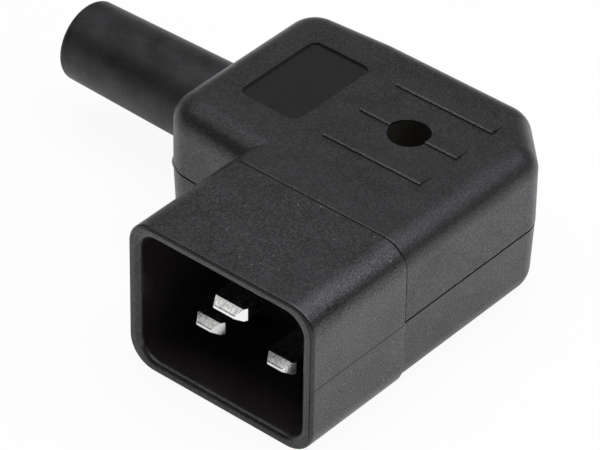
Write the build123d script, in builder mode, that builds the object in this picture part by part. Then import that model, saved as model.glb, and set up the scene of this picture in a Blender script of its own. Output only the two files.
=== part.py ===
import os
from math import radians, tan

from build123d import *

# Housing seen from above: the plug end points to -Y and the cord leaves to -X.
# The origin lies on the underside, below the screw that holds the two shells together.
body_width = 33.2
height = 25.15
parting_height = 12.38
seam_reach = 20.55
back_reach = 17.15
wing_reach = 32.0
wing_front_reach = 17.95
wing_taper = 4.35
back_cut = 8.25
corner_radius = 5.1
cut_corner_radius = 5.0
edge_radius = 4.1
wall = 2.4
roof = 2.6

# Edge where the shells meet
wing_step = 1.32
lip_height = 0.8
lip_corner_radius = 4.5
lip_slope = 17.0
lower_step = 0.05
lower_draft = 2.6
underside_margin = 0.15
shadow_gap = 0.35
shadow_depth = 0.6
seam_round = 0.35

# Top of the upper shell
ridge_length = 17.6
ridge_pitch = 8.0
ridge_middle = -0.45
ridge_rise = 0.3
ridge_run = 3.0
ridge_edge_run = 0.3
ridge_edge_drop = 0.1
label_width = 10.9
label_length = 16.9
label_margin = 7.3
label_y = 0.05
label_radius = 1.5
label_depth = 0.35
label_slope = 30.0

# Shroud round the blades
shroud_reach = 40.4
shroud_overhang = 0.15
shroud_drop = 0.02
shroud_top_radius = 4.2
shroud_bottom_radius = 4.6
shroud_back_round = 0.3
shroud_front_round = 0.45
face_rise = 0.12
side_wall = 2.1
top_wall = 1.87
floor_wall = 1.8
recess_radius = 3.0
rim_round = 1.0
mould_line_height = 12.05
mould_line_width = 0.12
mould_line_depth = 0.05

# Neck and flange of the carrier, gripped by the front walls of the shells
flange_clearance = 0.3
flange_thickness = 2.6
neck_step = 1.3
grip_clearance = 0.1
barrier_thickness = 1.4
barrier_inset = 3.3
barrier_gap = 1.4

# Blades
blade_thickness = 2.05
blade_spacing = 13.0
row_spacing = 8.0
line_width = 4.9
earth_width = 5.6
line_tip_width = 2.6
earth_tip_width = 3.8
tip_thickness = 0.4
tip_slope = 1.25
tip_side_slope = 1.8
line_tip_setback = 4.2
earth_tip_setback = 1.05
blade_fit = 0.02

# Brass cages on the tails of the blades, with their screws
cage_setback = 1.0
cage_wall = 1.1
cage_screw_wall = 2.0
cage_clearance = 0.4
terminal_screw_radius = 1.5
slot_width = 0.6
slot_depth = 0.8

# Housing screw and its bosses
screw_hole_radius = 3.2
screw_seat_wall = 2.2
screw_radius = 1.5
screw_clearance = 0.2
screw_head_radius = 2.9
screw_head_height = 2.4
screw_head_round = 0.8
screw_length = 10.0
screw_point = 0.7
screw_tip_room = 0.8
boss_wall = 1.7
thread_fit = 0.02
cross_length = 3.4
cross_width = 0.9
cross_depth = 1.4

# Cord boot
boot_neck_radius = 6.9
boot_tip_radius = 6.38
boot_bore_radius = 4.9
boot_length = 29.9
boot_tip_round = 0.8
collar_radius = 9.0
collar_width = 2.4
boot_clearance = 0.1
rib_thickness = 1.6

# Cord clamp in the wing
clamp_gap = 1.1
clamp_width = 6.0
clamp_thickness = 2.0
cord_radius = 4.7
post_radius = 3.0
clamp_screw_radius = 1.45
clamp_screw_length = 9.0
clamp_head_radius = 2.6
clamp_head_clearance = 0.3
clamp_head_height = 1.9

half_width = body_width / 2
mid_height = (height - shroud_drop) / 2
shroud_front = shroud_reach - face_rise
front_inside = seam_reach - wall
end_inside = wing_reach - wall
rib_reach = end_inside - collar_width - boot_clearance
wing_parting = parting_height + wing_step
step_reach = half_width + wall
draft_run = (parting_height - shadow_gap) * tan(radians(lower_draft))
lower_corner_radius = min(corner_radius, cut_corner_radius) - lower_step - draft_run
underside_radius = lower_corner_radius - underside_margin
ridge_top = height + ridge_rise
label_x = label_margin + label_width / 2 - wing_reach
recess_width = body_width + 2 * (shroud_overhang - side_wall)
recess_height = 2 * (mid_height - top_wall)
recess_floor = seam_reach + floor_wall
flange_width = body_width - 2 * (wall + flange_clearance)
flange_height = height - 2 * (roof + flange_clearance)
neck_width = flange_width - 2 * neck_step
neck_height = flange_height - 2 * neck_step
window_width = neck_width + 2 * grip_clearance
window_height = neck_height + 2 * grip_clearance
boss_radius = screw_hole_radius + boss_wall
screw_seat_height = parting_height + screw_seat_wall
barrier_back = boss_radius + barrier_gap
cage_front = front_inside - grip_clearance - flange_thickness
cage_back = barrier_back + cage_setback
cage_middle = (cage_front + cage_back) / 2
clamp_reach = rib_reach - rib_thickness - clamp_gap - clamp_width / 2
clamp_seat = parting_height + clamp_thickness
post_spread = cord_radius + clamp_thickness + clamp_head_clearance + clamp_head_radius
posts = [(-clamp_reach, post_spread), (-clamp_reach, -post_spread)]
upright = (Align.CENTER, Align.CENTER, Align.MIN)

# Each contact: its place across, the heights of its blade and of its cage's screwed end,
# then the blade's width, the width of its tip and how far the tip reaches.
lower_row = mid_height - row_spacing / 2
upper_row = mid_height + row_spacing / 2
cage_top = height - roof - cage_clearance
cage_bottom = roof + cage_clearance
line_blade_sizes = (line_width, line_tip_width, shroud_reach - line_tip_setback)
earth_blade_sizes = (earth_width, earth_tip_width, shroud_reach - earth_tip_setback)
contacts = {
    "earth": (0.0, upper_row, cage_top, *earth_blade_sizes),
    "line": (-blade_spacing / 2, lower_row, cage_bottom, *line_blade_sizes),
    "neutral": (blade_spacing / 2, lower_row, cage_bottom, *line_blade_sizes),
}

os.makedirs("parts", exist_ok=True)


def housing_plan(wing_corner, front_reach):
    """Plan of the L-shaped housing, with its wing corners and the cut back corner rounded."""
    taper_run = (wing_reach - half_width) * tan(radians(wing_taper))
    with BuildSketch() as plan:
        with BuildLine():
            Polyline(
                (half_width, -front_reach),
                (half_width, back_reach - back_cut),
                (half_width - back_cut, back_reach),
                (-half_width, back_reach),
                (-wing_reach, back_reach - taper_run),
                (-wing_reach, taper_run - wing_front_reach),
                (-half_width, -wing_front_reach),
                (-half_width, -front_reach),
                close=True,
            )
        make_face()
        fillet(vertices().group_by(Axis.X)[0], radius=wing_corner)
        fillet(vertices().group_by(Axis.X)[-1].sort_by(Axis.Y)[-1], radius=cut_corner_radius)
        fillet(vertices().group_by(Axis.Y)[-1].sort_by(Axis.X)[-1], radius=cut_corner_radius)
    return plan.sketch


def inset_plan(inset, front_reach):
    """The housing's plan drawn in by an even margin."""
    with BuildSketch() as plan:
        add(housing_plan(corner_radius, front_reach))
        offset(amount=-inset, kind=Kind.INTERSECTION)
    return plan.sketch


def wing_area():
    """The far part of the plan, where the joint between the shells lies higher."""
    with BuildSketch() as plan:
        with Locations((-step_reach, 0)):
            Rectangle(wing_reach, 2 * seam_reach, align=(Align.MAX, Align.CENTER))
    return plan.sketch


def cavity_plan():
    """The hollow inside the shells, with a rib left standing behind the boot's collar."""
    with BuildSketch() as plan:
        add(inset_plan(wall, seam_reach))
        with Locations((rib_thickness / 2 - rib_reach, 0)):
            Rectangle(rib_thickness, 2 * wing_front_reach, mode=Mode.SUBTRACT)
    return plan.sketch


def shroud_profile(inset):
    """The shroud's outside seen from the front, drawn in by an even margin."""
    with BuildSketch() as profile:
        with Locations((0, mid_height)):
            Rectangle(body_width + 2 * (shroud_overhang - inset), 2 * (mid_height - inset))
        fillet(vertices().group_by(Axis.Y)[-1], radius=shroud_top_radius - inset)
        fillet(vertices().group_by(Axis.Y)[0], radius=shroud_bottom_radius - inset)
    return profile.sketch


def front_rectangle(width, tall, across, up):
    """A rectangle seen from the front, centred at a place across and up."""
    with BuildSketch() as profile:
        with Locations((across, up)):
            Rectangle(width, tall)
    return profile.sketch


def end_circle(radius):
    """A circle round the cord's axis, seen from the side."""
    with BuildSketch() as profile:
        with Locations((0, parting_height)):
            Circle(radius)
    return profile.sketch


# Upper shell: rounded L-shaped cover, its lower edge raised in the wing and flared at the wing's corners
with BuildPart() as upper_shell:
    with BuildSketch(Plane.XY.offset(parting_height)):
        add(housing_plan(corner_radius, seam_reach + edge_radius))
    extrude(amount=height - parting_height)
    fillet(faces().sort_by(Axis.Z)[-1].edges(), radius=edge_radius)
    split(bisect_by=Plane.XZ.offset(seam_reach), keep=Keep.BOTTOM)
    front_edges = faces().sort_by(Axis.Y)[0].edges()
    fillet(front_edges.sort_by(Axis.Z)[1:], radius=seam_round)
    with BuildSketch(Plane.XY.offset(parting_height)):
        add(wing_area())
    extrude(amount=wing_step, mode=Mode.SUBTRACT)
    with BuildSketch(Plane.XY.offset(wing_parting)):
        add(housing_plan(lip_corner_radius, seam_reach))
        add(wing_area(), mode=Mode.INTERSECT)
    extrude(amount=lip_height, taper=lip_slope)
    with BuildSketch(Plane.XY.offset(parting_height)):
        add(cavity_plan())
    extrude(amount=height - roof - parting_height, mode=Mode.SUBTRACT)
    # Window for the carrier's neck, hole for the boot and way for the cord
    with BuildSketch(Plane.XZ.offset(seam_reach)):
        add(front_rectangle(window_width, window_height, 0, mid_height))
    extrude(amount=-wall, mode=Mode.SUBTRACT)
    with BuildSketch(Plane.YZ.offset(-wing_reach)):
        add(end_circle(boot_neck_radius + boot_clearance))
    extrude(amount=wall, mode=Mode.SUBTRACT)
    with BuildSketch(Plane.YZ.offset(-rib_reach)):
        add(end_circle(boot_bore_radius))
    extrude(amount=rib_thickness, mode=Mode.SUBTRACT)
    # Grip wedges, each with its riser towards the plug end
    with BuildSketch(Plane.YZ):
        for row in (-1, 0, 1):
            foot = ridge_middle + row * ridge_pitch
            with BuildLine():
                Polyline(
                    (foot, height - ridge_rise),
                    (foot, ridge_top - ridge_edge_drop),
                    (foot + ridge_edge_run, ridge_top),
                    (foot + ridge_run, height),
                    (foot + ridge_run, height - ridge_rise),
                    close=True,
                )
            make_face()
    extrude(amount=ridge_length / 2, both=True)
    # Sunk label field
    with BuildSketch(Plane.XY.offset(height)):
        with Locations((label_x, label_y)):
            RectangleRounded(label_width, label_length, label_radius)
    extrude(amount=-label_depth, taper=label_slope, mode=Mode.SUBTRACT)
    # Tube for the housing screw, with a seat for its head
    with Locations((0, 0, parting_height)):
        Cylinder(boss_radius, height - roof - parting_height, align=upright)
    with Locations((0, 0, ridge_top)):
        CounterBoreHole(
            screw_radius + screw_clearance,
            screw_hole_radius,
            ridge_top - screw_seat_height,
            depth=ridge_top - parting_height,
        )
upper_shell.part.label = "upper_shell"
export_step(upper_shell.part, "parts/upper_shell.step")

# Lower shell: set back from the upper one, drafted to its underside, with a shadow gap at the joint
with BuildPart() as lower_shell:
    with BuildSketch(Plane.XY.offset(parting_height - shadow_gap)):
        add(inset_plan(lower_step, seam_reach + edge_radius))
    extrude(amount=shadow_gap - parting_height, taper=lower_draft)
    fillet(faces().sort_by(Axis.Z)[0].edges(), radius=underside_radius)
    with BuildSketch(Plane.XY.offset(parting_height - shadow_gap)):
        add(inset_plan(lower_step + shadow_depth, seam_reach + edge_radius))
    extrude(amount=shadow_gap)
    split(bisect_by=Plane.XZ.offset(seam_reach), keep=Keep.BOTTOM)
    with BuildSketch(Plane.XY.offset(parting_height - shadow_gap)):
        add(inset_plan(lower_step, seam_reach))
        add(wing_area(), mode=Mode.INTERSECT)
    extrude(amount=wing_step)
    with BuildSketch(Plane.XY.offset(wing_parting - shadow_gap)):
        add(inset_plan(lower_step + shadow_depth, seam_reach))
        add(wing_area(), mode=Mode.INTERSECT)
    extrude(amount=shadow_gap)
    with BuildSketch(Plane.XY.offset(wing_parting)):
        add(cavity_plan())
    extrude(amount=roof - wing_parting, mode=Mode.SUBTRACT)
    # Window for the carrier's neck, hole for the boot and way for the cord
    with BuildSketch(Plane.XZ.offset(seam_reach)):
        add(front_rectangle(window_width, window_height, 0, mid_height))
    extrude(amount=-wall, mode=Mode.SUBTRACT)
    with BuildSketch(Plane.YZ.offset(-wing_reach)):
        add(end_circle(boot_neck_radius + boot_clearance))
    extrude(amount=wall, mode=Mode.SUBTRACT)
    with BuildSketch(Plane.YZ.offset(-rib_reach)):
        add(end_circle(boot_bore_radius))
    extrude(amount=rib_thickness, mode=Mode.SUBTRACT)
    # Cradle below the cord, with a post at each end for the clamp
    with BuildSketch(Plane.YZ.offset(-clamp_reach)):
        with Locations((0, roof)):
            Rectangle(2 * post_spread, parting_height - roof, align=(Align.CENTER, Align.MIN))
        add(end_circle(cord_radius), mode=Mode.SUBTRACT)
    extrude(amount=clamp_width / 2, both=True)
    with BuildSketch(Plane.XY.offset(roof)):
        with Locations(posts):
            Circle(post_radius)
        Circle(boss_radius)
    extrude(amount=parting_height - roof)
    # Holes the clamp screws and the housing screw cut their threads in
    with BuildSketch(Plane.XY.offset(parting_height)):
        with Locations(posts):
            Circle(clamp_screw_radius + thread_fit)
    extrude(amount=clamp_thickness - clamp_screw_length - screw_tip_room, mode=Mode.SUBTRACT)
    with BuildSketch(Plane.XY.offset(parting_height)):
        Circle(screw_radius + thread_fit)
    extrude(amount=screw_seat_height - parting_height - screw_length - screw_tip_room, mode=Mode.SUBTRACT)
lower_shell.part.label = "lower_shell"
export_step(lower_shell.part, "parts/lower_shell.step")

# Pin carrier: shroud, wall that holds the blades and flange between the shells, in one moulding
with BuildPart() as pin_carrier:
    with BuildSketch(Plane.XZ.offset(seam_reach)):
        add(shroud_profile(0))
    extrude(amount=shroud_front - seam_reach)
    fillet(faces().sort_by(Axis.Y)[-1].edges(), radius=shroud_back_round)
    fillet(faces().sort_by(Axis.Y)[0].edges(), radius=shroud_front_round)
    with BuildSketch(Plane.XZ.offset(shroud_front)):
        add(shroud_profile(shroud_front_round))
    extrude(amount=face_rise)
    with BuildSketch(Plane.XZ.offset(shroud_reach)):
        with Locations((0, mid_height)):
            RectangleRounded(recess_width, recess_height, recess_radius)
    extrude(amount=recess_floor - shroud_reach, mode=Mode.SUBTRACT)
    fillet(faces().sort_by(Axis.Y)[0].inner_wires()[0].edges(), radius=rim_round)
    # Fine line left by the mould along both sides
    with BuildSketch(Plane.XZ.offset(seam_reach)):
        for side_face in (half_width + shroud_overhang, -half_width - shroud_overhang):
            add(front_rectangle(2 * mould_line_depth, mould_line_width, side_face, mould_line_height))
    extrude(amount=shroud_front - seam_reach, mode=Mode.SUBTRACT)
    # Neck through the shells' front walls, flange behind them and barriers between the terminals
    with BuildSketch(Plane.XZ.offset(seam_reach)):
        add(front_rectangle(neck_width, neck_height, 0, mid_height))
    extrude(amount=-wall - grip_clearance)
    with BuildSketch(Plane.XZ.offset(front_inside - grip_clearance)):
        add(front_rectangle(flange_width, flange_height, 0, mid_height))
    extrude(amount=-flange_thickness)
    with BuildSketch(Plane.XZ.offset(cage_front)):
        add(front_rectangle(flange_width - 2 * barrier_inset, barrier_thickness, 0, mid_height))
        add(front_rectangle(barrier_thickness, flange_height / 2, 0, mid_height - flange_height / 4))
    extrude(amount=barrier_back - cage_front)
    # Slots that hold the blades
    with BuildSketch(Plane.XZ.offset(recess_floor)):
        for across, up, _, width, _, _ in contacts.values():
            add(front_rectangle(width + 2 * blade_fit, blade_thickness + 2 * blade_fit, across, up))
    extrude(amount=cage_front - recess_floor, mode=Mode.SUBTRACT)
pin_carrier.part.label = "pin_carrier"
export_step(pin_carrier.part, "parts/pin_carrier.step")

# Blades: flat strips with the tip bevelled on all four sides, and a tail that ends in the cage
for name, (across, up, _, width, tip_width, tip_reach) in contacts.items():
    with BuildPart() as blade:
        with BuildSketch(Plane.XY.offset(up)):
            with BuildLine():
                Polyline(
                    (across - width / 2, -cage_back),
                    (across - width / 2, tip_side_slope - tip_reach),
                    (across - tip_width / 2, -tip_reach),
                    (across + tip_width / 2, -tip_reach),
                    (across + width / 2, tip_side_slope - tip_reach),
                    (across + width / 2, -cage_back),
                    close=True,
                )
            make_face()
        extrude(amount=blade_thickness / 2, both=True)
        with BuildSketch(Plane.YZ.offset(across)):
            with BuildLine():
                Polyline(
                    (-cage_back, up - blade_thickness / 2),
                    (tip_slope - tip_reach, up - blade_thickness / 2),
                    (-tip_reach, up - tip_thickness / 2),
                    (-tip_reach, up + tip_thickness / 2),
                    (tip_slope - tip_reach, up + blade_thickness / 2),
                    (-cage_back, up + blade_thickness / 2),
                    close=True,
                )
            make_face()
        extrude(amount=width, both=True, mode=Mode.INTERSECT)
    blade.part.label = f"{name}_blade"
    export_step(blade.part, f"parts/{name}_blade.step")

# Terminal cages: open brass boxes round the blades' tails, with room for a wire and a screwed end
for name, (across, up, cage_end, width, _, _) in contacts.items():
    side = 1 if cage_end > up else -1
    closed_end = up - side * (blade_thickness / 2 + cage_wall)
    window_end = cage_end - side * cage_screw_wall
    window_start = up - side * (blade_thickness / 2 + blade_fit)
    with BuildPart() as cage:
        with BuildSketch(Plane.XZ.offset(cage_front)):
            cage_width = width + 2 * cage_wall
            add(front_rectangle(cage_width, abs(cage_end - closed_end), across, (cage_end + closed_end) / 2))
            hollow = front_rectangle(
                width + 2 * blade_fit,
                abs(window_end - window_start),
                across,
                (window_end + window_start) / 2,
            )
            add(hollow, mode=Mode.SUBTRACT)
        extrude(amount=cage_back - cage_front)
        with BuildSketch(Plane.XY.offset(window_end)):
            with Locations((across, -cage_middle)):
                Circle(terminal_screw_radius + thread_fit)
        extrude(amount=side * cage_screw_wall, mode=Mode.SUBTRACT)
    cage.part.label = f"{name}_terminal"
    export_step(cage.part, f"parts/{name}_terminal.step")

# Terminal screws: slotted, turned down onto the blades
with BuildPart() as terminal_screws:
    for across, up, cage_end, _, _, _ in contacts.values():
        side = 1 if cage_end > up else -1
        seat = up + side * blade_thickness / 2
        with BuildSketch(Plane.XY.offset(seat)):
            with Locations((across, -cage_middle)):
                Circle(terminal_screw_radius)
        extrude(amount=cage_end - seat)
        with BuildSketch(Plane.XY.offset(cage_end)):
            with Locations((across, -cage_middle)):
                Rectangle(2 * terminal_screw_radius, slot_width)
        extrude(amount=-side * slot_depth, mode=Mode.SUBTRACT)
terminal_screws.part.label = "terminal_screws"
export_step(terminal_screws.part, "parts/terminal_screws.step")

# Housing screw: pan head with a cross recess, seated deep in the upper shell
with BuildPart() as housing_screw:
    with BuildSketch(Plane.XY.offset(screw_seat_height)):
        Circle(screw_head_radius)
    extrude(amount=screw_head_height)
    fillet(edges().group_by(Axis.Z)[-1], radius=screw_head_round)
    with BuildSketch(Plane.XY.offset(screw_seat_height)):
        Circle(screw_radius)
    extrude(amount=-screw_length)
    chamfer(edges().group_by(Axis.Z)[0], length=screw_point)
    with BuildSketch(Plane.XY.offset(screw_seat_height + screw_head_height)):
        Rectangle(cross_length, cross_width)
        Rectangle(cross_width, cross_length)
    extrude(amount=-cross_depth, mode=Mode.SUBTRACT)
housing_screw.part.label = "housing_screw"
export_step(housing_screw.part, "parts/housing_screw.step")

# Cord boot: tapered rubber sleeve, held by its collar behind the end wall
with BuildPart() as cord_boot:
    with BuildSketch(Plane.XY.offset(parting_height)):
        with BuildLine():
            Polyline(
                (collar_width - end_inside, boot_bore_radius),
                (collar_width - end_inside, collar_radius),
                (-end_inside, collar_radius),
                (-end_inside, boot_neck_radius),
                (-wing_reach, boot_neck_radius),
                (-wing_reach - boot_length, boot_tip_radius),
                (-wing_reach - boot_length, boot_bore_radius),
                close=True,
            )
        make_face()
        fillet(vertices().group_by(Axis.X)[0].sort_by(Axis.Y)[-1], radius=boot_tip_round)
    revolve(axis=Axis((0, 0, parting_height), (1, 0, 0)))
cord_boot.part.label = "cord_boot"
export_step(cord_boot.part, "parts/cord_boot.step")

# Cord clamp: saddle over the cord, with a foot on each post
with BuildPart() as cord_clamp:
    with BuildSketch(Plane.YZ.offset(-clamp_reach)):
        with Locations((0, parting_height)):
            Circle(cord_radius + clamp_thickness)
            Rectangle(2 * (post_spread + post_radius), clamp_thickness, align=(Align.CENTER, Align.MIN))
            Circle(cord_radius, mode=Mode.SUBTRACT)
            Rectangle(
                2 * (cord_radius + clamp_thickness),
                cord_radius + clamp_thickness,
                align=(Align.CENTER, Align.MAX),
                mode=Mode.SUBTRACT,
            )
    extrude(amount=clamp_width / 2, both=True)
    with BuildSketch(Plane.XY.offset(clamp_seat)):
        with Locations(posts):
            Circle(clamp_screw_radius + screw_clearance)
    extrude(amount=-clamp_thickness, mode=Mode.SUBTRACT)
cord_clamp.part.label = "cord_clamp"
export_step(cord_clamp.part, "parts/cord_clamp.step")

# Clamp screws: one in each foot of the saddle
with BuildPart() as clamp_screws:
    with BuildSketch(Plane.XY.offset(clamp_seat)):
        with Locations(posts):
            Circle(clamp_head_radius)
    extrude(amount=clamp_head_height)
    with BuildSketch(Plane.XY.offset(clamp_seat)):
        with Locations(posts):
            Circle(clamp_screw_radius)
    extrude(amount=-clamp_screw_length)
    with BuildSketch(Plane.XY.offset(clamp_seat + clamp_head_height)):
        with Locations(posts):
            Rectangle(2 * clamp_head_radius, slot_width)
    extrude(amount=-slot_depth, mode=Mode.SUBTRACT)
clamp_screws.part.label = "clamp_screws"
export_step(clamp_screws.part, "parts/clamp_screws.step")
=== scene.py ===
from math import radians

import bmesh
import bpy
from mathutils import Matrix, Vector


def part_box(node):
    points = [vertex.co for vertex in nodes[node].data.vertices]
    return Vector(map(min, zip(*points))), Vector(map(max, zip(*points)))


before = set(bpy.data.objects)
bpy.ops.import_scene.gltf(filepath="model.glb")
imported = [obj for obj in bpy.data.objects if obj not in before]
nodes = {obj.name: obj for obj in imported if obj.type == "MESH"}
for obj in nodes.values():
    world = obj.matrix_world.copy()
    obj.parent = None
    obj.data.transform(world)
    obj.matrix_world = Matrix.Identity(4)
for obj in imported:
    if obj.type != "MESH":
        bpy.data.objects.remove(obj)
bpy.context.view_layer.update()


# Pin carrier: the shroud, the wall that holds the blades and the flange behind it, in one
# injection moulding of black glass-filled nylon. Outside it has the fine grain of a
# spark-eroded mould; the rim and the recess were polished in the mould and came out smooth.
def fill(tree, node, inputs):
    """Each input of the node set to a value, or linked where a socket is given."""
    for key, value in inputs.items():
        if isinstance(value, bpy.types.NodeSocket):
            tree.links.new(value, node.inputs[key])
        else:
            node.inputs[key].default_value = value


def place(tree, kind, inputs=None, **settings):
    """A new node of that kind, with its settings and its inputs."""
    node = tree.nodes.new(kind)
    for name, value in settings.items():
        setattr(node, name, value)
    fill(tree, node, inputs or {})
    return node


def fed(node, name):
    """What feeds that input of the node at present."""
    return node.inputs[name].links[0].from_socket


def reckon(tree, operation, *values):
    """One step of arithmetic between numbers."""
    return place(tree, "ShaderNodeMath", dict(enumerate(values)), operation=operation).outputs[0]


def reckon_vector(tree, operation, *values):
    """One step of arithmetic between places or directions."""
    made = place(tree, "ShaderNodeVectorMath", dict(enumerate(values)), operation=operation)
    return made.outputs[0]


def axes(tree, vector):
    """A place or a direction taken apart into its X, Y and Z."""
    return place(tree, "ShaderNodeSeparateXYZ", {0: vector}).outputs


def blend(tree, share, first, second):
    """The first colour, which gives way to the second as the share goes from 0 to 1."""
    colours = {0: share, 6: first, 7: second}
    return place(tree, "ShaderNodeMix", colours, data_type="RGBA").outputs[2]


def mix(tree, share, first, second):
    """The first number, which gives way to the second as the share goes from 0 to 1."""
    return place(tree, "ShaderNodeMix", {0: share, 2: first, 3: second}).outputs[0]


def spread(tree, value, low, high, first=0.0, second=1.0):
    """A number between low and high carried over to the range from the first to the second."""
    ends = {"Value": value, "From Min": low, "From Max": high, "To Min": first, "To Max": second}
    return place(tree, "ShaderNodeMapRange", ends).outputs[0]


def noise(tree, vector, pitch, detail, roughness=0.5):
    """An uneven pattern from 0 to 1, with about that many swells to the metre."""
    values = {"Vector": vector, "Scale": pitch, "Detail": detail, "Roughness": roughness}
    return place(tree, "ShaderNodeTexNoise", values).outputs["Fac"]


def grey(level):
    """A neutral colour with a trace of blue, as carbon-black plastics have."""
    blue_trace = 1.03
    return (level, level, level * blue_trace, 1.0)


def blank_material(name):
    """A material with a Principled shader, and the piece's own coordinates."""
    made = bpy.data.materials.new(name)
    made.use_nodes = True
    tree = made.node_tree
    tree.nodes.clear()
    shader = place(tree, "ShaderNodeBsdfPrincipled")
    place(tree, "ShaderNodeOutputMaterial", {"Surface": shader.outputs[0]})
    coords = place(tree, "ShaderNodeTexCoord").outputs["Object"]
    return made, tree, shader, coords


def new_group(name, inputs, outputs):
    """A shader node group with named sockets, and the sockets of its two end nodes."""
    tree = bpy.data.node_groups.new(name, "ShaderNodeTree")
    for label, kind in inputs:
        tree.interface.new_socket(name=label, in_out="INPUT", socket_type=kind)
    for label, kind in outputs:
        tree.interface.new_socket(name=label, in_out="OUTPUT", socket_type=kind)
    return tree, place(tree, "NodeGroupInput").outputs, place(tree, "NodeGroupOutput").inputs


def use_group(tree, group, inputs):
    """The group placed in a material, with its own values."""
    return place(tree, "ShaderNodeGroup", inputs, node_tree=group).outputs


def paint(material, *names):
    """The material on each of these nodes' meshes."""
    for name in names:
        mesh = nodes[name].data
        mesh.materials.clear()
        mesh.materials.append(material)


vector_socket, number_socket = "NodeSocketVector", "NodeSocketFloat"

# Grain of a spark-eroded mould: small rounded pits, with broad clouds where the mould wore
spark_grain, grain_in, grain_out = new_group(
    "spark_grain",
    [("Vector", vector_socket), ("Pitch", number_socket)],
    [("Height", number_socket), ("Shade", number_socket)],
)
pit_span, pit_part = (0.42, 0.70), 0.85
cloud_span, cloud_part = (0.35, 0.65), 0.15
clouds_to_pits = 0.05
pits = noise(spark_grain, grain_in["Vector"], grain_in["Pitch"], detail=3.0, roughness=0.6)
cloud_pitch = reckon(spark_grain, "MULTIPLY", grain_in["Pitch"], clouds_to_pits)
clouds = noise(spark_grain, grain_in["Vector"], cloud_pitch, detail=3.0)
pit_shade = spread(spark_grain, pits, *pit_span, 0.0, pit_part)
cloud_shade = spread(spark_grain, clouds, *cloud_span, 0.0, cloud_part)
spark_grain.links.new(pits, grain_out["Height"])
spark_grain.links.new(reckon(spark_grain, "ADD", pit_shade, cloud_shade), grain_out["Shade"])

# Box with soft faces, as a mask for a part of the surface
box_mask, box_in, box_out = new_group(
    "box_mask",
    [
        ("Vector", vector_socket),
        ("Middle", vector_socket),
        ("Half Size", vector_socket),
        ("Softness", number_socket),
    ],
    [("Mask", number_socket)],
)
from_middle = reckon_vector(box_mask, "SUBTRACT", box_in["Vector"], box_in["Middle"])
off_middle = reckon_vector(box_mask, "ABSOLUTE", from_middle)
past = axes(box_mask, reckon_vector(box_mask, "SUBTRACT", off_middle, box_in["Half Size"]))
past_sides = reckon(box_mask, "MAXIMUM", past["X"], past["Y"])
furthest = reckon(box_mask, "MAXIMUM", past_sides, past["Z"])
inner_edge = reckon(box_mask, "MULTIPLY", box_in["Softness"], -1.0)
box_mask.links.new(spread(box_mask, furthest, box_in["Softness"], inner_edge), box_out["Mask"])

# Dust: sparse pale motes that lie on the moulding
dust, dust_in, dust_out = new_group(
    "dust",
    [("Vector", vector_socket), ("Spread", number_socket), ("Mote", number_socket)],
    [("Mask", number_socket)],
)
mote_distance = place(
    dust, "ShaderNodeTexVoronoi", {"Vector": dust_in["Vector"], "Scale": dust_in["Spread"]}
).outputs["Distance"]
dust.links.new(reckon(dust, "LESS_THAN", mote_distance, dust_in["Mote"]), dust_out["Mask"])


def grained_plastic(name, smoothest, roughest, gloss, mote):
    """Black moulded plastic with spark-eroded grain and a little dust, and the node of its bumps."""
    grain_pitch, grain_depth = 4000.0, 0.00004
    dust_spread = 560.0
    pit_black, land_black, dust_grey = grey(0.001), grey(0.009), grey(0.18)
    made, tree, shader, coords = blank_material(name)
    grain = use_group(tree, spark_grain, {"Vector": coords, "Pitch": grain_pitch})
    motes = use_group(tree, dust, {"Vector": coords, "Spread": dust_spread, "Mote": mote})["Mask"]
    moulded = blend(tree, grain["Shade"], pit_black, land_black)
    bumps = place(
        tree, "ShaderNodeBump", {"Strength": 1.0, "Distance": grain_depth, "Height": grain["Height"]}
    )
    looks = {
        "Base Color": blend(tree, motes, moulded, dust_grey),
        "Roughness": spread(tree, grain["Shade"], 0.0, 1.0, smoothest, roughest),
        "Normal": bumps.outputs[0],
        "Coat Weight": grain["Shade"],
        "Coat Roughness": roughest,
        "Coat IOR": gloss,
        "IOR": 1.5,
    }
    fill(tree, shader, looks)
    return made, tree, shader, coords, bumps


def inside(tree, coords, corner, far_corner):
    """A mask that is 1 inside the box between two corners."""
    corner, far_corner = Vector(corner), Vector(far_corner)
    box = {
        "Vector": coords,
        "Middle": (corner + far_corner) / 2,
        "Half Size": (far_corner - corner) / 2,
        "Softness": 0.00004,
    }
    return use_group(tree, box_mask, box)["Mask"]


def tint(tree, shader, mask, colour):
    """The colour gives way to another one where the mask is 1."""
    fill(tree, shader, {"Base Color": blend(tree, mask, fed(shader, "Base Color"), colour)})


def polish(tree, shader, bumps, mask, level, roughness, sheen):
    """The grain gives way to a smooth black finish where the mask is 1."""
    smooth_height = 0.5
    grained_coat = fed(shader, "Coat Weight")
    smooth_coat = reckon(tree, "MULTIPLY", grained_coat, sheen)
    tint(tree, shader, mask, grey(level))
    fill(tree, shader, {"Roughness": mix(tree, mask, fed(shader, "Roughness"), roughness)})
    fill(tree, shader, {"Coat Weight": mix(tree, mask, grained_coat, smooth_coat)})
    fill(tree, bumps, {"Height": mix(tree, mask, fed(bumps, "Height"), smooth_height)})


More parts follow.
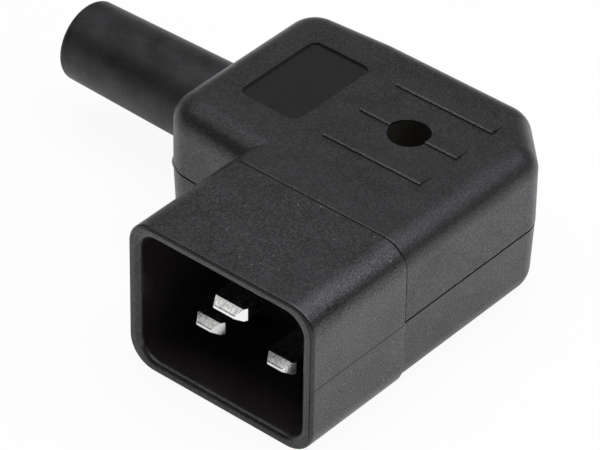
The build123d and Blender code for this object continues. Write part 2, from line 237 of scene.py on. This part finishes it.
carrier_plastic, tree, shader, coords, bumps = grained_plastic(
    "carrier_plastic", smoothest=0.30, roughest=0.36, gloss=1.85, mote=0.07
)
low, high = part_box("pin_carrier")
rim_depth = 0.0006
recess_back = -0.0221
wall = 0.0018
beyond = 0.001
# Painted light: the recess is painted a warm grey, lighter than the black plastic around it
recess_painted_light = (0.026, 0.021, 0.020, 1.0)
rim = inside(
    tree,
    coords,
    (low.x - beyond, low.y - beyond, low.z - beyond),
    (high.x + beyond, low.y + rim_depth, high.z + beyond),
)
recess = inside(
    tree,
    coords,
    (low.x + wall, low.y, low.z + wall),
    (high.x - wall, recess_back, high.z - wall),
)
smooth = reckon(tree, "MAXIMUM", rim, recess)
polish(tree, shader, bumps, smooth, level=0.003, roughness=0.3, sheen=0.55)
# Painted light: the lighter warm grey goes on the recess walls and floor
tint(tree, shader, recess, recess_painted_light)
paint(carrier_plastic, "pin_carrier")


# Blades: three flat strips of brass, nickel plated and brushed lengthwise, in slots in the carrier.
# Their tips were coined to a bevel and tumbled, which speckled them; the side bevels came out a
# little rounded towards the tip. The end faces and side bevels are painted a near-white nickel as
# a painted highlight, and a broken dark line of painted shade lies across the bevels just behind
# the tips of the earth and line blades.
def stretched(tree, vector, pitches):
    """Places scaled so that a pattern has its own pitch along each axis."""
    return place(tree, "ShaderNodeMapping", {"Vector": vector, "Scale": pitches}).outputs[0]


blade_nickel, tree, shader, coords = blank_material("blade_nickel")
streak_pitches = (9000.0, 500.0, 1500.0)
speckle_pitch, speckle_part = 4500.0, 0.5
streaks = noise(tree, stretched(tree, coords, streak_pitches), 1.0, detail=3.0)
speckle = noise(tree, coords, speckle_pitch, detail=3.0, roughness=0.7)
wear = mix(tree, speckle_part, streaks, speckle)

# Which face it is, told by the way it points: bevelled tip, end face or side bevel
tip_span, end_span, side_span = (-0.15, -0.35), (-0.85, -0.95), (0.3, 0.6)
facing = place(tree, "ShaderNodeTexCoord").outputs["Normal"]
faced = axes(tree, facing)
sideways = reckon(tree, "ABSOLUTE", faced["X"])
tip = spread(tree, faced["Y"], *tip_span)
end_face = spread(tree, faced["Y"], *end_span)
side_bevel = reckon(tree, "MULTIPLY", tip, spread(tree, sideways, *side_span))
# Painted highlight: the end faces and side bevels, picked out here, are painted near-white below
highlight_faces = reckon(tree, "MAXIMUM", side_bevel, end_face)

wear_span = (0.38, 0.62)
flat_dull, flat_bright = (0.50, 0.49, 0.47, 1.0), (0.66, 0.65, 0.62, 1.0)
bevel_dull, bevel_bright = (0.40, 0.39, 0.38, 1.0), (0.92, 0.91, 0.89, 1.0)
# Painted highlight: near-white nickel on the end faces and side bevels
painted_highlight_nickel = (0.98, 0.97, 0.95, 1.0)
worn = spread(tree, wear, *wear_span)
flat = blend(tree, worn, flat_dull, flat_bright)
bevel = blend(tree, worn, bevel_dull, bevel_bright)

# Painted shade: a broken dark line across the bevel just behind the tip
tip_shade_grey = (0.08, 0.08, 0.08, 1.0)
shade_break_span, faintest_shade = (0.40, 0.55), 0.2
line_start, line_end = 0.00022, 0.00012
broken_shade = spread(tree, speckle, *shade_break_span, faintest_shade, 1.0)
along = axes(tree, coords)["Y"]
for name in ("earth_blade", "line_blade"):
    from_tip = reckon(tree, "SUBTRACT", along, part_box(name)[0].y)
    near_tip = spread(tree, reckon(tree, "ABSOLUTE", from_tip), line_start, line_end)
    bevel = blend(tree, reckon(tree, "MULTIPLY", broken_shade, near_tip), bevel, tip_shade_grey)

speckle_span = (0.35, 0.65)
flat_roughness, bevel_roughness, bright_roughness = (0.30, 0.14), (0.32, 0.24), 0.12
brushed = spread(tree, wear, *wear_span, *flat_roughness)
coined = spread(tree, speckle, *speckle_span, *bevel_roughness)

rounding = (0.0, -0.28, 0.0)
towards_tip = place(
    tree, "ShaderNodeVectorMath", {0: rounding, "Scale": side_bevel}, operation="SCALE"
).outputs[0]
rounded = reckon_vector(tree, "NORMALIZE", reckon_vector(tree, "ADD", facing, towards_tip))
brushing = place(
    tree, "ShaderNodeBump", {"Strength": 0.6, "Distance": 0.00002, "Height": wear, "Normal": rounded}
)
looks = {
    "Base Color": blend(tree, highlight_faces, blend(tree, tip, flat, bevel), painted_highlight_nickel),
    "Roughness": mix(tree, tip, brushed, mix(tree, highlight_faces, coined, bright_roughness)),
    "Normal": brushing.outputs[0],
    "Metallic": 1.0,
}
fill(tree, shader, looks)
paint(blade_nickel, "earth_blade", "line_blade", "neutral_blade")


# Terminals and their screws: cages sawn from brass bar round the blades' tails, each with a
# slotted steel screw, zinc plated, that presses a wire onto the blade.
noise_span = (0.3, 0.7)


def vary(tree, shader, pattern, colours, roughness):
    """Colour and roughness that go from the first to the second as the pattern rises."""
    looks = {
        "Base Color": blend(tree, pattern, *colours),
        "Roughness": spread(tree, pattern, *noise_span, *roughness),
    }
    fill(tree, shader, looks)


terminal_brass, tree, shader, coords = blank_material("terminal_brass")
saw_pitches = (700.0, 700.0, 7000.0)
brass_colours = (0.55, 0.36, 0.13, 1.0), (0.80, 0.60, 0.28, 1.0)
sawn = noise(tree, stretched(tree, coords, saw_pitches), 1.0, detail=3.0)
vary(tree, shader, sawn, brass_colours, roughness=(0.42, 0.26))
shader.inputs["Metallic"].default_value = 1.0
paint(terminal_brass, "earth_terminal", "line_terminal", "neutral_terminal")

screw_zinc, tree, shader, coords = blank_material("screw_zinc")
plating_pitch = 1500.0
zinc_colours = (0.34, 0.34, 0.33, 1.0), (0.60, 0.60, 0.57, 1.0)
plating = noise(tree, coords, plating_pitch, detail=4.0)
vary(tree, shader, plating, zinc_colours, roughness=(0.48, 0.30))
shader.inputs["Metallic"].default_value = 1.0
paint(screw_zinc, "terminal_screws")


# Lower shell: the drafted half of the housing that lies on the table, moulded in the same black
# plastic with the same grain. The boot, the clamp and the carrier are laid into it.
shell_finish = {"smoothest": 0.36, "roughest": 0.41, "gloss": 1.58, "mote": 0.04}
lower_plastic = grained_plastic("lower_plastic", **shell_finish)[0]
paint(lower_plastic, "lower_shell")


# Cord boot: a tapered sleeve of black rubber, moulded over a polished core and slipped into the
# end wall by its collar. Its skin is smooth and soft, with a cloudy bloom.
boot_rubber, tree, shader, coords = blank_material("boot_rubber")
bloom_pitch, skin_pitch = 220.0, 2600.0
bloom_span, bloom_part, skin_part = (0.36, 0.64), 0.35, 0.25
rubber_black, bloom_grey = grey(0.006), grey(0.011)
boot_roughness = (0.40, 0.50)
bloom = noise(tree, coords, bloom_pitch, detail=4.0, roughness=0.6)
skin = noise(tree, coords, skin_pitch, detail=2.0)
bloom_sheen = spread(tree, bloom, *bloom_span, 0.0, bloom_part)
skin_sheen = spread(tree, skin, *noise_span, 0.0, skin_part)
dimples = place(tree, "ShaderNodeBump", {"Strength": 0.5, "Distance": 0.00003, "Height": skin})
looks = {
    "Base Color": blend(tree, spread(tree, bloom, *noise_span), rubber_black, bloom_grey),
    "Roughness": spread(tree, bloom, *noise_span, *boot_roughness),
    "Normal": dimples.outputs[0],
    "Coat Weight": reckon(tree, "ADD", bloom_sheen, skin_sheen),
    "Coat Roughness": 0.45,
    "IOR": 1.39,
}
fill(tree, shader, looks)
paint(boot_rubber, "cord_boot")


# Cord clamp: a saddle of black nylon over the cord, pulled down on its two posts by a pair of
# zinc-plated screws.
clamp_plastic, tree, shader, coords = blank_material("clamp_plastic")
flow_pitch = 320.0
nylon_blacks = grey(0.016), grey(0.028)
flow = noise(tree, coords, flow_pitch, detail=3.0)
vary(tree, shader, flow, nylon_blacks, roughness=(0.34, 0.46))
paint(clamp_plastic, "cord_clamp")
paint(screw_zinc, "clamp_screws")


# Upper shell: the cover with the grip wedges, moulded with the same grain. The sunk field for
# a label and the tube for the screw were polished in the mould.
upper_plastic, tree, shader, coords, bumps = grained_plastic("upper_plastic", **shell_finish)
label_corner, label_far_corner = (-0.0247, -0.0084, 0.0245), (-0.0138, 0.0085, 0.0251)
tube_radius = 0.0033
tube_foot, tube_mouth = 0.0140, 0.0250
# Painted light: the tube for the screw is painted a warm grey, lighter than the black plastic
tube_painted_light = (0.032, 0.029, 0.023, 1.0)
label = inside(tree, coords, label_corner, label_far_corner)
tube = inside(
    tree,
    coords,
    (-tube_radius, -tube_radius, tube_foot),
    (tube_radius, tube_radius, tube_mouth),
)
smooth = reckon(tree, "MAXIMUM", label, tube)
polish(tree, shader, bumps, smooth, level=0.004, roughness=0.22, sheen=0.2)
# Painted light: the lighter warm grey goes on the tube's walls
tint(tree, shader, tube, tube_painted_light)
paint(upper_plastic, "upper_shell")


# Housing screw: one zinc-plated steel screw with a cross recess, at the bottom of its tube. It
# goes through the upper shell into the lower one and holds the two together.
paint(screw_zinc, "housing_screw")


# Camera: above the front right of the plug and well away from it, with a long lens, as the
# photograph was taken. The shift of half a pixel sets the picture on the photograph's grid.
picture_width = 600
half_pixel = 0.5 / picture_width
camera = bpy.data.objects.new("camera", bpy.data.cameras.new("camera"))
bpy.context.scene.collection.objects.link(camera)
camera.location = (0.307151, -0.389093, 0.389957)
camera.rotation_euler = (radians(52.40546), radians(-0.75355), radians(40.60749))
camera.data.lens = 262.694
camera.data.sensor_width = 36.0
camera.data.shift_x = -half_pixel
camera.data.shift_y = half_pixel
bpy.context.scene.camera = camera


# Studio: a round white floor just under the plug, which shows almost plain white and keeps its
# shadow. A wide soft box hangs overhead to the right, a small dim card to the left, and the
# walls of the room are grey and paler at the back.
bpy.context.scene.view_settings.view_transform = "Standard"

floor_radius, floor_drop = 4.0, 0.00005
floor_white, plain_white = (0.96, 0.96, 0.96, 1.0), (1.0, 1.0, 1.0, 1.0)
seen_share, mirrored_share = 0.93, 0.4
floor_paint = bpy.data.materials.new("floor_paint")
floor_paint.use_nodes = True
tree = floor_paint.node_tree
tree.nodes.clear()
path = place(tree, "ShaderNodeLightPath").outputs
mirrored = reckon(tree, "MAXIMUM", path["Is Glossy Ray"], path["Is Transmission Ray"])
mirrored = reckon(tree, "MULTIPLY", mirrored, mirrored_share)
seen = reckon(tree, "MULTIPLY", path["Is Camera Ray"], seen_share)
matt = place(tree, "ShaderNodeBsdfDiffuse", {"Color": floor_white}).outputs[0]
white = place(tree, "ShaderNodeEmission", {"Color": plain_white, "Strength": 1.0}).outputs[0]
lifted = place(
    tree, "ShaderNodeMixShader", {0: reckon(tree, "MAXIMUM", seen, mirrored), 1: matt, 2: white}
)
place(tree, "ShaderNodeOutputMaterial", {"Surface": lifted.outputs[0]})

shape = bmesh.new()
bmesh.ops.create_circle(shape, cap_ends=True, segments=96, radius=floor_radius)
bmesh.ops.translate(shape, verts=shape.verts, vec=(0.0, 0.0, -floor_drop))
floor_mesh = bpy.data.meshes.new("floor")
shape.to_mesh(floor_mesh)
shape.free()
floor_mesh.materials.append(floor_paint)
floor = bpy.data.objects.new("floor", floor_mesh)
bpy.context.scene.collection.objects.link(floor)


def soft_lamp(name, size, energy, location, turn, colour=(1.0, 1.0, 1.0)):
    """A flat lamp of that width and depth, which shines straight down before it is turned."""
    lamp = bpy.data.lights.new(name, "AREA")
    lamp.shape = "RECTANGLE"
    lamp.size, lamp.size_y = size
    lamp.energy = energy
    lamp.color = colour
    hung = bpy.data.objects.new(name, lamp)
    hung.location = location
    hung.rotation_euler = [radians(angle) for angle in turn]
    bpy.context.scene.collection.objects.link(hung)


soft_lamp(
    "soft_box",
    size=(0.965, 0.475),
    energy=3.9,
    location=(0.23, 0.10, 0.525),
    turn=(0.0, 0.0, 18.0),
    colour=(0.94, 0.945, 1.0),
)
soft_lamp(
    "fill_card",
    size=(0.2, 0.2),
    energy=0.17,
    location=(-0.335, -0.22, 0.525),
    turn=(20.0, -30.0, 0.0),
)

world = bpy.data.worlds.new("studio")
bpy.context.scene.world = world
world.use_nodes = True
tree = world.node_tree
back_of_room = (-0.5, 0.87, 0.0)
front_grey, back_grey = (0.08, 0.08, 0.084, 1.0), (0.30, 0.30, 0.315, 1.0)
towards = place(tree, "ShaderNodeTexCoord").outputs["Generated"]
towards_back = place(
    tree, "ShaderNodeVectorMath", {0: towards, 1: back_of_room}, operation="DOT_PRODUCT"
).outputs["Value"]
walls = blend(tree, spread(tree, towards_back, -1.0, 1.0), front_grey, back_grey)
fill(tree, tree.nodes["Background"], {"Color": walls})
